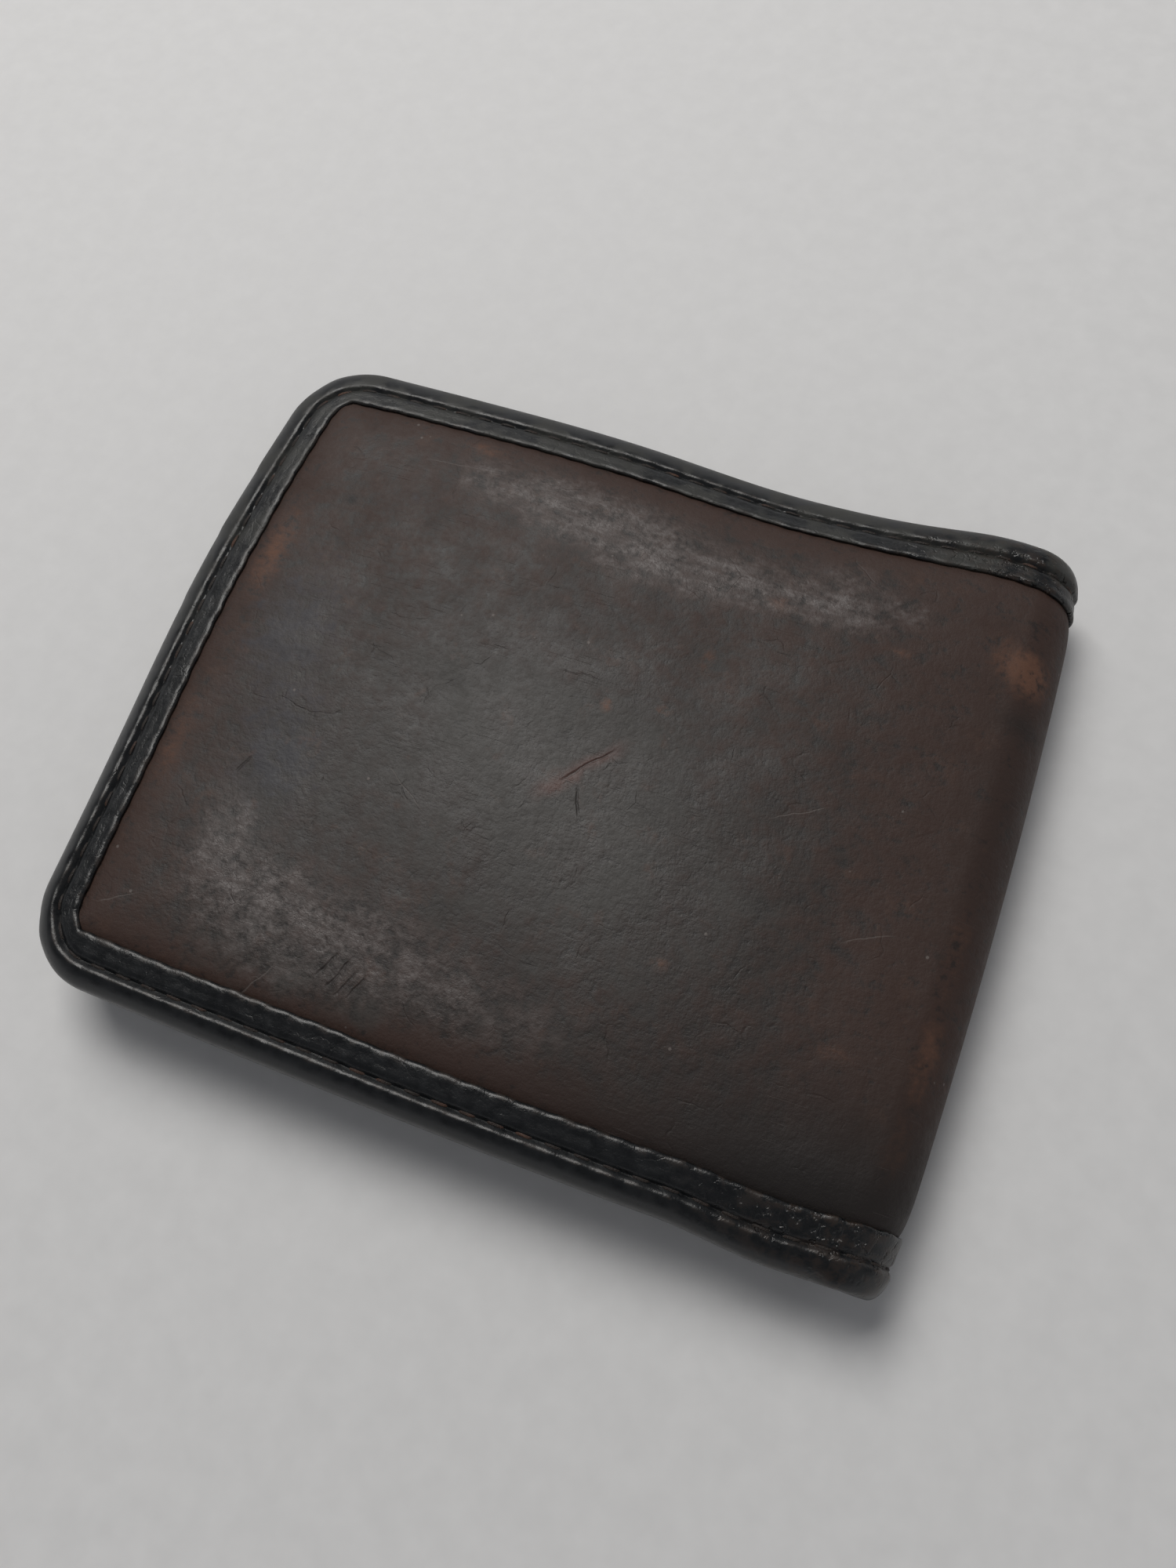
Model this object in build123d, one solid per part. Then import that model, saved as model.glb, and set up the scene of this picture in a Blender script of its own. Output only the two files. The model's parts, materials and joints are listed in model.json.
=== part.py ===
from build123d import *
from math import cos, radians, sin
import os

# A bifold wallet, closed and lying on its back cover.
#
# A brown leather cover is folded round at the right, and a black leather strip binds its cut
# edges. Each half carries a cloth lining, a note compartment, an inner wall and three stepped
# card pockets. X runs from the open edge to the fold, Y from the bottom edge to the mouth of
# the note compartment, and Z up. The origin is under the middle of the closed wallet.
#
# The fold is leather that bends. Here it is cut into rigid strips along the fold, with a hinge
# line on the cover's outer face at each cut, so that the cuts open inwards as the wallet opens.
#
# Every half is built as the back one, which lies below, with "depth" counted from its outer
# face at Z = 0 inwards. The front half is the back one mirrored.

# ---- Sizes in millimetres ----

closed_width = 110.0  # open edge to the outside of the fold
closed_height = 92.0  # bottom edge to top edge
corner_radius = 10.0  # the two corners at the open edge

cover_thickness = 1.6
lining_thickness = 0.3
wall_thickness = 0.8
pocket_thickness = 0.65
binding_thickness = 0.8

note_gap = 0.4  # room between the lining and the inner wall
card_gap = 0.1  # room behind each card pocket
closed_gap = 0.8  # room between the two halves
flange_clearance = 0.05  # between the binding's inner flange and the pockets under it
seam_gap = 0.15  # between the binding's edge and the raised middle of the cover

binding_width = 6.3  # how far the binding reaches over each face
binding_sink = 0.1  # the binding's face lies this far below the cover's face

wall_reveal = 0.5  # the inner wall's top edge, below the edge of the binding's inner flange
pocket_count = 3
first_mouth_drop = 20.5  # the first pocket's mouth, below the top edge of the cover
mouth_pitch = 11.0  # from one pocket's mouth down to the next
pocket_depth = 52.0  # from the mouth down to the foot, in a pocket with another over it
pocket_relief = 2.0  # the pockets stop this far before the bend
step_clearance = 0.3  # where the binding steps down past the end of a layer

stitch_inset = 2.6  # the seam's centre line, in from the edge
stitch_pitch = 3.45
stitch_length = 2.4
stitch_width = 0.4
stitch_thickness = 0.3
groove_width = 0.7
groove_depth = 0.35
seam_margin = 0.5  # the least width of binding between the groove and the cover's middle
inner_bend_stitch_length = 1.4  # short stitches, inside the tight bend
pocket_seam_inset = 2.5  # from the pockets' edge beside the fold

hinge_count = 3  # hinge lines across the fold
fold_angle = 180.0
cut_clearance = 0.6  # degrees between two strips of the fold, when closed

# ---- Depths of the layers, outer face inwards ----

flange_inside = binding_sink + binding_thickness
lining_depth = cover_thickness
wall_depth = lining_depth + lining_thickness + note_gap
wall_inside = wall_depth + wall_thickness
pocket_pitch = pocket_thickness + card_gap
pocket_depths = [wall_inside + card_gap + i * pocket_pitch for i in range(pocket_count)]

# Where the binding's inner flange lies: on the lining at the top, on the wall at the fold, and
# on the pockets elsewhere.
top_flange = lining_depth + lining_thickness
bend_flange = wall_inside
full_flange = pocket_depths[-1] + pocket_thickness + flange_clearance

half_thickness = full_flange + binding_thickness
closed_thickness = 2 * half_thickness + closed_gap

# ---- Places ----

fold_radius = closed_thickness / 2
open_x = -closed_width / 2
bend_x = closed_width / 2 - fold_radius
edge_y = closed_height / 2
wall_top = edge_y - binding_width - wall_reveal
mouths = [edge_y - first_mouth_drop - i * mouth_pitch for i in range(pocket_count)]
pocket_end = bend_x - pocket_relief
top_step = wall_top + step_clearance
bend_step = pocket_end + step_clearance

hinge_turn = fold_angle / hinge_count
half_bend = hinge_turn / 2 - cut_clearance / 2
fold_axis = Axis((bend_x, 0, fold_radius), (0, -1, 0))
fold_plane = Plane(origin=(bend_x, 0, 0), x_dir=(0, 1, 0), z_dir=(1, 0, 0))
closed_plane = Plane.XY.offset(fold_radius)


# ---- Shapes that the layers share ----


def rectangle(x1, y1, x2, y2):
    """A rectangle between two opposite corners."""
    return Pos((x1 + x2) / 2, (y1 + y2) / 2) * Rectangle(abs(x2 - x1), abs(y2 - y1))


def half_outline(inset):
    """One half in plan, inset from its three free edges, with its open corners rounded."""
    plan = rectangle(open_x + inset, inset - edge_y, bend_x, edge_y - inset)
    corners = plan.vertices().group_by(Axis.X)[0]
    return fillet(corners, corner_radius - inset)


def window(inset):
    """The middle of one half in plan, inset from its three free edges.

    Its corners are sharp, and are cut to an arc only where they would reach the seam.
    """
    plan = rectangle(open_x + inset, inset - edge_y, bend_x, edge_y - inset)
    seam_edge = stitch_inset + groove_width / 2 + seam_margin
    return plan & half_outline(seam_edge + inset - binding_width)


def slab(plan, start, end):
    """A flat layer between two depths."""
    return extrude(Pos(0, 0, start) * plan, end - start)


def bend(profile, start, end):
    """A profile of (Y, depth) carried round the fold, between two angles in degrees."""
    return revolve((fold_plane * profile).rotate(fold_axis, start), fold_axis, end - start)


def strip_angles(number):
    """Where one strip of the fold starts and ends, in degrees from the back half."""
    middle = number * hinge_turn
    return middle - half_bend, middle + half_bend


# ---- Leather cover, thinned at its edges under the binding ----

field_inset = binding_width + seam_gap


def cover_profile():
    """The cover's section across the fold: a full middle between two thinned edges."""
    edge = edge_y - binding_thickness
    middle = edge_y - field_inset
    thinned = rectangle(-edge, flange_inside, edge, cover_thickness)
    raised = rectangle(-middle, 0, middle, flange_inside)
    return thinned + raised


def cover_half():
    thinned = slab(half_outline(binding_thickness), flange_inside, cover_thickness)
    raised = slab(window(field_inset), 0, flange_inside)
    return thinned + raised + bend(cover_profile(), 0, half_bend)


# ---- Cloth lining, glued to the inside of the cover ----


def lining_profile():
    edge = edge_y - binding_thickness
    return rectangle(-edge, lining_depth, edge, lining_depth + lining_thickness)


def lining_half():
    flat = slab(half_outline(binding_thickness), lining_depth, lining_depth + lining_thickness)
    return flat + bend(lining_profile(), 0, half_bend)


# ---- Inner wall of the note compartment ----


def wall_profile():
    return rectangle(binding_thickness - edge_y, wall_depth, wall_top, wall_inside)


def wall_half():
    below_mouth = rectangle(open_x, -edge_y, bend_x, wall_top)
    flat = slab(half_outline(binding_thickness) & below_mouth, wall_depth, wall_inside)
    return flat + bend(wall_profile(), 0, half_bend)


# ---- Card pockets, the one nearest the inner wall first ----


def card_pocket(index):
    """One pocket panel. The last one, over the others, runs down to the bottom edge."""
    mouth = mouths[index]
    is_last = index == pocket_count - 1
    foot = -edge_y if is_last else mouth - pocket_depth
    reach = rectangle(open_x, foot, pocket_end, mouth)
    depth = pocket_depths[index]
    return slab(half_outline(binding_thickness) & reach, depth, depth + pocket_thickness)


# ---- Binding: one strip folded over the edges, with a sunk groove for its stitches ----


def groove_plan():
    outer = half_outline(stitch_inset - groove_width / 2)
    return outer - half_outline(stitch_inset + groove_width / 2)


def folded_strip(flange, low_x, low_y, high_x, high_y):
    """The strip round the free edges, over one area, with its inner flange at a depth."""
    inside = flange + binding_thickness
    strip = slab(half_outline(0) - window(binding_width), binding_sink, inside)
    strip -= slab(half_outline(binding_thickness), flange_inside, flange)
    strip -= slab(groove_plan(), binding_sink, binding_sink + groove_depth)
    strip -= slab(groove_plan(), inside - groove_depth, inside)
    return strip & slab(rectangle(low_x, low_y, high_x, high_y), binding_sink, inside)


def binding_profile(flange, side):
    """The strip's section at the bottom edge (side -1) or the top edge (side 1)."""
    inside = flange + binding_thickness
    strip = rectangle(side * edge_y, binding_sink, side * (edge_y - binding_width), inside)
    strip -= rectangle(side * (edge_y - binding_thickness), flange_inside, 0, flange)
    groove_out = side * (edge_y - stitch_inset + groove_width / 2)
    groove_in = side * (edge_y - stitch_inset - groove_width / 2)
    strip -= rectangle(groove_out, binding_sink, groove_in, binding_sink + groove_depth)
    return strip - rectangle(groove_out, inside - groove_depth, groove_in, inside)


def binding_bend(start, end):
    """The strip round the fold, at the bottom edge and at the top edge."""
    bottom = bend(binding_profile(bend_flange, -1), start, end)
    top = bend(binding_profile(top_flange, 1), start, end)
    return bottom, top


def binding_half():
    bottom, top = binding_bend(0, half_bend)
    side = folded_strip(full_flange, open_x, -edge_y, bend_step, top_step)
    top_run = folded_strip(top_flange, open_x, top_step, bend_x, edge_y)
    bottom_end = folded_strip(bend_flange, bend_step, -edge_y, bend_x, 0)
    return side + top_run + bottom_end + bottom + top


# ---- Stitches: short bars of thread that lie in the grooves ----

seam_y = edge_y - stitch_inset
outer_floor = binding_sink + groove_depth
bend_stitch_angles = (-hinge_turn / 4, hinge_turn / 4)


def stitch(length, depth, thread=stitch_thickness):
    """One stitch along X, its face nearest the outside at a depth."""
    size = (length, stitch_width, thread)
    return Pos(0, 0, depth) * Box(*size, align=(Align.CENTER, Align.CENTER, Align.MIN))


def seam_line():
    """The seam's centre line in plan, from the fold round the open edge to the fold."""
    side_x = open_x + stitch_inset
    corners = [(bend_x, -seam_y), (side_x, -seam_y), (side_x, seam_y), (bend_x, seam_y)]
    return FilletPolyline(*corners, radius=corner_radius - stitch_inset)


def seam_places():
    """A place for each stitch of one half, turned to lie along the seam."""
    line = seam_line()
    count = round(line.length / stitch_pitch)
    shares = [(i + 0.5) / count for i in range(count)]
    return [Location(Plane(origin=line @ t, x_dir=line % t, z_dir=(0, 0, 1))) for t in shares]


def flange_at(place, reach):
    """The inner flange's depth under a stitch, or None where the stitch would cross a step."""
    x, y, _ = place.position
    if abs(y - top_step) < reach or (abs(x - bend_step) < reach and y < 0):
        return None
    if y > top_step:
        return top_flange
    return bend_flange if x > bend_step else full_flange


def outer_seam():
    return [place * stitch(stitch_length, outer_floor - stitch_thickness) for place in seam_places()]


def inner_seam():
    bars = []
    for place in seam_places():
        flange = flange_at(place, stitch_length)
        if flange is not None:
            floor = flange + binding_thickness - groove_depth
            bars.append(place * stitch(stitch_length, floor))
    return bars


def bend_stitches(start, outer=True):
    """The stitches that one stretch of the fold carries at both edges."""
    bars = []
    for y, flange in ((-seam_y, bend_flange), (seam_y, top_flange)):
        if outer:
            bar = stitch(stitch_length, outer_floor - stitch_thickness)
        else:
            # A short flat bar inside a bend stands off the groove's floor at its middle.
            floor = flange + binding_thickness - groove_depth
            rise = inner_bend_stitch_length**2 / (8 * (fold_radius - floor))
            bar = stitch(inner_bend_stitch_length, floor + 1.1 * rise, stitch_thickness / 2)
        bars.append((Pos(bend_x, y, 0) * bar).rotate(fold_axis, start))
    return bars


def edge_stitches_half():
    quarter = hinge_turn / 4
    bars = outer_seam() + inner_seam() + bend_stitches(quarter) + bend_stitches(quarter, False)
    return Compound(children=bars)


def edge_stitches_strip(number):
    middle = number * hinge_turn
    bars = []
    for angle in bend_stitch_angles:
        bars += bend_stitches(middle + angle) + bend_stitches(middle + angle, False)
    return Compound(children=bars)


def pocket_stitches():
    """The seam that holds the pockets' edges beside the fold down on the inner wall."""
    x = pocket_end - pocket_seam_inset
    margin = stitch_length
    bars = []
    feet = [mouth + margin for mouth in mouths[1:]] + [binding_width - edge_y + margin]
    for index, (mouth, foot) in enumerate(zip(mouths, feet)):
        surface = pocket_depths[index] + pocket_thickness
        count = int((mouth - margin - foot) / stitch_pitch) + 1
        for i in range(count):
            place = Pos(x, foot + i * stitch_pitch, 0) * Rot(0, 0, 90)
            bars.append(place * stitch(stitch_length, surface))
    return Compound(children=bars)


# ---- The whole wallet ----


def build_parts():
    """Every solid by the name of its node."""
    back = {
        "cover": cover_half(),
        "lining": lining_half(),
        "inner_wall": wall_half(),
        "binding": binding_half(),
        "edge_stitches": edge_stitches_half(),
        "pocket_stitches": pocket_stitches(),
    }
    for index, place in enumerate(["high", "middle", "low"]):
        back[f"card_pocket_{place}"] = card_pocket(index)

    parts = {}
    for name, shape in back.items():
        parts[f"{name}_back"] = shape
        parts[f"{name}_front"] = mirror(shape, about=closed_plane)

    for number in range(1, hinge_count):
        start, end = strip_angles(number)
        bottom, top = binding_bend(start, end)
        parts[f"cover_fold_{number}"] = bend(cover_profile(), start, end)
        parts[f"lining_fold_{number}"] = bend(lining_profile(), start, end)
        parts[f"inner_wall_fold_{number}"] = bend(wall_profile(), start, end)
        parts[f"binding_bottom_fold_{number}"] = bottom
        parts[f"binding_top_fold_{number}"] = top
        parts[f"edge_stitches_fold_{number}"] = edge_stitches_strip(number)
    return parts


def hinge_lines():
    """Where each hinge line crosses the XZ plane, from the back half to the front one."""
    angles = [radians((i + 0.5) * hinge_turn) for i in range(hinge_count)]
    return [(bend_x + fold_radius * sin(a), fold_radius * (1 - cos(a))) for a in angles]


os.makedirs("parts", exist_ok=True)
for node, solid in build_parts().items():
    export_step(solid, f"parts/{node}.step")
print("closed thickness", round(closed_thickness, 3), "hinge lines", hinge_lines())
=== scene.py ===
import json

import bmesh
import bpy
import numpy as np
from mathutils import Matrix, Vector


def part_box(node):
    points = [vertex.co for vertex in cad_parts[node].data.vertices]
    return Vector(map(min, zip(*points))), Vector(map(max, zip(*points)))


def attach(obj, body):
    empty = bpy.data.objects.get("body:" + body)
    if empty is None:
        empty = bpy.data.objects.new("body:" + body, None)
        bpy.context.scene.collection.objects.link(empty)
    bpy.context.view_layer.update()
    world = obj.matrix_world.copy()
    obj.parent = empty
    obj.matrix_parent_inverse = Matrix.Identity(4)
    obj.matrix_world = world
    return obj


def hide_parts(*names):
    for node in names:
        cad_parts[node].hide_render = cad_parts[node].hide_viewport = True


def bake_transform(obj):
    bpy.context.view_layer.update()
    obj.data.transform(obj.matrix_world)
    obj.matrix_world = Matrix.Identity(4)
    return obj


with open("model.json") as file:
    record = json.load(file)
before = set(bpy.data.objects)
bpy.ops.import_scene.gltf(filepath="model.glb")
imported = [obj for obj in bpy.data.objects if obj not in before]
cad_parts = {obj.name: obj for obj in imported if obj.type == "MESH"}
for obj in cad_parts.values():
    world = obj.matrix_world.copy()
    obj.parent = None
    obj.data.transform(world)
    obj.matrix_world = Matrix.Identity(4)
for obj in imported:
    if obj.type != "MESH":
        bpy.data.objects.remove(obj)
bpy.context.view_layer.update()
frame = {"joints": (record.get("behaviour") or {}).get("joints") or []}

# ---- Outer cover ----
# One sheet of dark brown waxed leather, folded round at the right. It lies under every other
# layer, is rubbed grey and pale over the middle, in part a painted sheen and highlight, has a
# painted bluish sheen at the left and painted shade towards the bottom right, and keeps its
# red-brown colour beside the binding. It is three pieces here: the front, the back and the fold.

MM = 0.001
hinges = [np.array(joint["pos_m"]) / MM for joint in frame["joints"]]
radius = hinges[1][2]
bend_x = hinges[1][0] - radius
open_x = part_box("binding_back")[0].x / MM
edge_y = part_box("binding_back")[1].y / MM
cover_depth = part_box("lining_back")[0].z / MM
bend_length = np.pi * radius
strip_length = bend_length / 3
flat_end = bend_length + bend_x - open_x
corner = 10.0
binding_width = 6.3


def ease(value, start, end):
    """0 before start and 1 after end, as 3 t^2 - 2 t^3 between them."""
    t = np.clip((value - start) / (end - start), 0, 1)
    return t * t * (3 - 2 * t)


def swell(distance, reach):
    """0 at the edge, rising to 1 at reach from it, as 1 - (1 - d / reach)^2."""
    return 1 - (1 - np.clip(distance / reach, 0, 1)) ** 2


def squeeze(x, y, z):
    """The shape that the stack has worn to, from its place with every layer flat.

    A height above the middle plane is multiplied by a thickness: less along the free edges,
    most in the middle and at the fold, with a dip in the middle of the top edge. The free edges
    bow outwards, as one minus the square of the distance along them. The front half slips
    towards the bottom over the back half. The bottom edge spreads under its binding and flares
    beside the fold, the open edge leans outwards most above its middle, and the top edge rises
    beside the fold, each as an eased step or a bell, exp(-d^2).
    """
    height = z - radius
    front = ease(height, -1.5, 1.5)
    from_open = x - open_x
    from_edge = edge_y - np.abs(y)
    to_fold = ease(x, 24, 56)
    to_bottom = ease(-y, -10, 35)
    dome = swell(from_open, 30) * swell(from_edge, 24)
    dip = np.exp(-(((x - 15) / 18) ** 2)) * ease(y, 18, edge_y)
    edge = 0.76 + 0.20 * to_bottom - 0.08 * dip
    middle = 1.0 + 0.20 * front
    thickness = edge + (middle - edge) * dome
    thickness += (1.0 + 0.02 * front - thickness) * to_fold
    droop = ease(x, 22, 46) * ease(-y, edge_y - 11, edge_y - 1) * front
    thickness -= 0.16 * droop
    along_x = 1 - np.clip((x - 2) / 57, -1, 1) ** 2
    along_y = 1 - np.clip(y / edge_y, -1, 1) ** 2
    slip = -1.5 * (height / radius) * to_bottom * (1 - to_fold)
    bow = 0.9 * along_x * y / edge_y - 0.8 * dip
    spread = 0.5 * ease(-y, edge_y - binding_width, edge_y - 3.9)
    spread += 0.2 * ease(-y, edge_y - 3.2, edge_y - 0.5)
    flare = 1.3 * ease(x, 28, 43) * ease(-y, 22, edge_y)
    lean = (0.5 * along_y + 2.3 * np.exp(-(((y - 10) / 28) ** 2))) * ease(-x, 36, -open_x)
    bulge = 1.1 * along_y * ease(x, 25, bend_x)
    rise = 0.9 * np.exp(-(((x - 44) / 8) ** 2)) * ease(y, 18, edge_y)
    moved = y + bow + rise + slip - flare - spread
    return np.stack([x - lean + bulge, moved, radius + height * thickness - 0.7 * dip], -1)


def place(along, across, depth):
    """A point of the closed wallet, from its place on the cover laid flat.

    along runs from 0 where the back half starts to bend, and depth is counted inwards from the
    outer face. In the bend a point turns about the fold's middle line at the bend's radius less
    its depth, by along / radius. Past either end of the bend it runs straight on.
    """
    turn = np.clip(along / radius, 0, np.pi)
    past = np.abs(along - turn * radius)
    x = bend_x + (radius - depth) * np.sin(turn) - past
    z = radius - (radius - depth) * np.cos(turn)
    return squeeze(*np.broadcast_arrays(x, across, z))


def uneven(u, v, size, seed):
    """Smooth random heights from -1 to 1, eased between the points of a square lattice."""
    table = np.random.default_rng(seed).uniform(-1, 1, (64, 64))
    i, j = np.floor(u / size), np.floor(v / size)
    s, t = ease(u / size - i, 0, 1), ease(v / size - j, 0, 1)
    i, j = i.astype(int), j.astype(int)
    low = table[i % 64, j % 64] * (1 - s) + table[(i + 1) % 64, j % 64] * s
    high = table[i % 64, (j + 1) % 64] * (1 - s) + table[(i + 1) % 64, (j + 1) % 64] * s
    return low * (1 - t) + high * t


def mesh_of(name, grids, marks=None, wrap=False, sharp=50):
    """One mesh from grids of points in millimetres, a quad between each four neighbours.

    marks gives, by name, three numbers for each point of each grid, kept on the mesh for its
    leather. wrap joins each row's end to its start. Points that coincide are merged, so that
    grids with a shared border, and rows drawn together to a line, close up. Faces are turned
    outwards.
    """
    points, quads, count = [], [], 0
    for grid in grids:
        rows, columns = grid.shape[:2]
        index = np.arange(rows * columns).reshape(rows, columns) + count
        if wrap:
            index = np.hstack([index, index[:, :1]])
        quads.append(np.stack([index[:-1, :-1], index[1:, :-1], index[1:, 1:], index[:-1, 1:]], -1))
        points.append(grid.reshape(-1, 3))
        count += rows * columns
    points = np.concatenate(points) * MM
    quads = np.concatenate([q.reshape(-1, 4) for q in quads])
    mesh = bpy.data.meshes.new(name)
    mesh.vertices.add(len(points))
    mesh.vertices.foreach_set("co", points.ravel())
    mesh.loops.add(quads.size)
    mesh.loops.foreach_set("vertex_index", quads.ravel())
    mesh.polygons.add(len(quads))
    mesh.polygons.foreach_set("loop_start", np.arange(0, quads.size, 4))
    mesh.update(calc_edges=True)
    for mark, values in (marks or {}).items():
        values = np.concatenate([v.reshape(-1, 3) for v in values])
        mesh.attributes.new(mark, "FLOAT_VECTOR", "POINT").data.foreach_set("vector", values.ravel())
    mesh.validate()
    shell = bmesh.new()
    shell.from_mesh(mesh)
    bmesh.ops.remove_doubles(shell, verts=shell.verts, dist=1e-6)
    bmesh.ops.dissolve_degenerate(shell, edges=shell.edges, dist=1e-7)
    bmesh.ops.recalc_face_normals(shell, faces=shell.faces)
    shell.to_mesh(mesh)
    shell.free()
    mesh.shade_smooth()
    mesh.set_sharp_from_angle(angle=np.radians(sharp))
    piece = bpy.data.objects.new(name, mesh)
    bpy.context.scene.collection.objects.link(piece)
    return piece


def run(stops, steps, round_start, round_end, edge=0.35):
    """Places along a layer, and how full it is at each, from 0 to 1.

    Between each two stops the places are evenly spaced, at most a step apart. A free end is
    rounded: the fullness rises over the edge distance as a quarter circle. An end that meets
    the next piece is cut square.
    """
    rise = np.array([0.0, 0.12, 0.4, 0.8]) * edge
    full = np.array([0.0, 0.48, 0.8, 0.98])
    stops = list(stops)
    head = stops[0] + rise if round_start else np.array([stops[0]])
    tail = stops[-1] - rise[::-1] if round_end else np.array([stops[-1]])
    stops[0] += edge if round_start else 0
    stops[-1] -= edge if round_end else 0
    spans = [
        np.linspace(a, b, int(np.ceil((b - a) / step)), endpoint=False)
        for a, b, step in zip(stops, stops[1:], steps)
    ]
    middle = np.concatenate(spans + [stops[-1:]])
    places = np.concatenate([head, middle, tail])
    fullness = [full if round_start else [0], np.ones(len(middle)), full[::-1] if round_end else [0]]
    return places, np.concatenate(fullness)


def rounded(along, across, inset):
    """Draws a rectangle's two corners at the open edge in to arcs.

    In a corner's square each point moves towards the arc's middle, by the larger of its two
    offsets over its distance, so the square's outline becomes the arc.
    """
    arc = corner - inset
    du = np.maximum(along - (flat_end - inset - arc), 0)
    dv = np.maximum(np.abs(across) - (edge_y - inset - arc), 0)
    far = np.maximum(np.hypot(du, dv), 1e-9)
    scale = np.where((du > 0) & (dv > 0), np.maximum(du, dv) / far, 1)
    return along - du * (1 - scale), across - np.sign(across) * dv * (1 - scale)


def leaf(name, rows, columns, inset, outer, under, back=False, worn=None):
    """One layer of leather or cloth: an outer grid and an inner grid with a shared border.

    outer and under are the depths of its two faces, worked out from along, across and back.
    back gives the back half's layer, as far on the other side of the fold's middle. worn gives
    the marks of wear at each place, and on the cover the painted sheen and shade as well.
    """
    along, across = np.meshgrid(rows[0], columns[0], indexing="ij")
    full = np.outer(rows[1], columns[1])
    along, across = rounded(along, across, inset)
    near = outer(along, across, back)
    far = under(along, across, back)
    half = (far - near) / 2 * (1 - full)
    marks = worn(along, across, back) if worn else {}
    if back:
        along = bend_length - along
    marks["plan"] = np.stack([along, across, 0 * along], -1)
    both = {mark: [values, values[:, ::-1]] for mark, values in marks.items()}
    faces = [place(along, across, near + half), place(along, across, far - half)[:, ::-1]]
    return mesh_of(name, faces, both)


def cover_relief(along, across, back):
    """The depth of the cover's outer face, below its full height.

    It sinks by a fading exponential towards the seam, and lies flat under the binding. Slow
    waves and small puckers are added in the middle, and short creases beside the fold.
    """
    inset = np.minimum(edge_y - np.abs(across), flat_end - along)
    beside = np.maximum(inset - binding_width, 0)
    sink = 0.62 * np.exp(-beside / 1.5) + 0.33 * (1 - ease(inset, binding_width - 0.7, binding_width))
    seed = 20 if back else 0
    inside = ease(inset, binding_width, binding_width + 6)
    flat = ease(along, strip_length * 2.6, strip_length * 4)
    waves = 0.16 * uneven(along, across, 19, seed + 1) + 0.07 * uneven(along, across, 8, seed + 2)
    puckers = 0.022 * uneven(along, across, 2.7, seed + 3)
    puckers += 0.010 * uneven(along, across, 1.2, seed + 4)
    return sink + inside * flat * (waves + puckers)


def cover_under(along, across, back):
    """The cover's inner face, at one depth all over."""
    return np.full_like(along, cover_depth)


def half_rows(stops, steps):
    """Rows of a layer that starts two thirds of the way round the bend, to a free end."""
    return run([2 * strip_length, bend_length, *stops], [strip_length / 40, *steps], False, True)


fold_rows = run([strip_length, 2 * strip_length], [strip_length / 40], False, False)
cover_inset = 1.2
cover_side = edge_y - cover_inset
fine_side = edge_y - binding_width - 3
cover_columns = run(
    [-cover_side, -fine_side, fine_side, cover_side], [0.35, 0.62, 0.35], True, True
)
cover_rows = half_rows([flat_end - binding_width - 3, flat_end - cover_inset], [0.62, 0.35])


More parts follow.
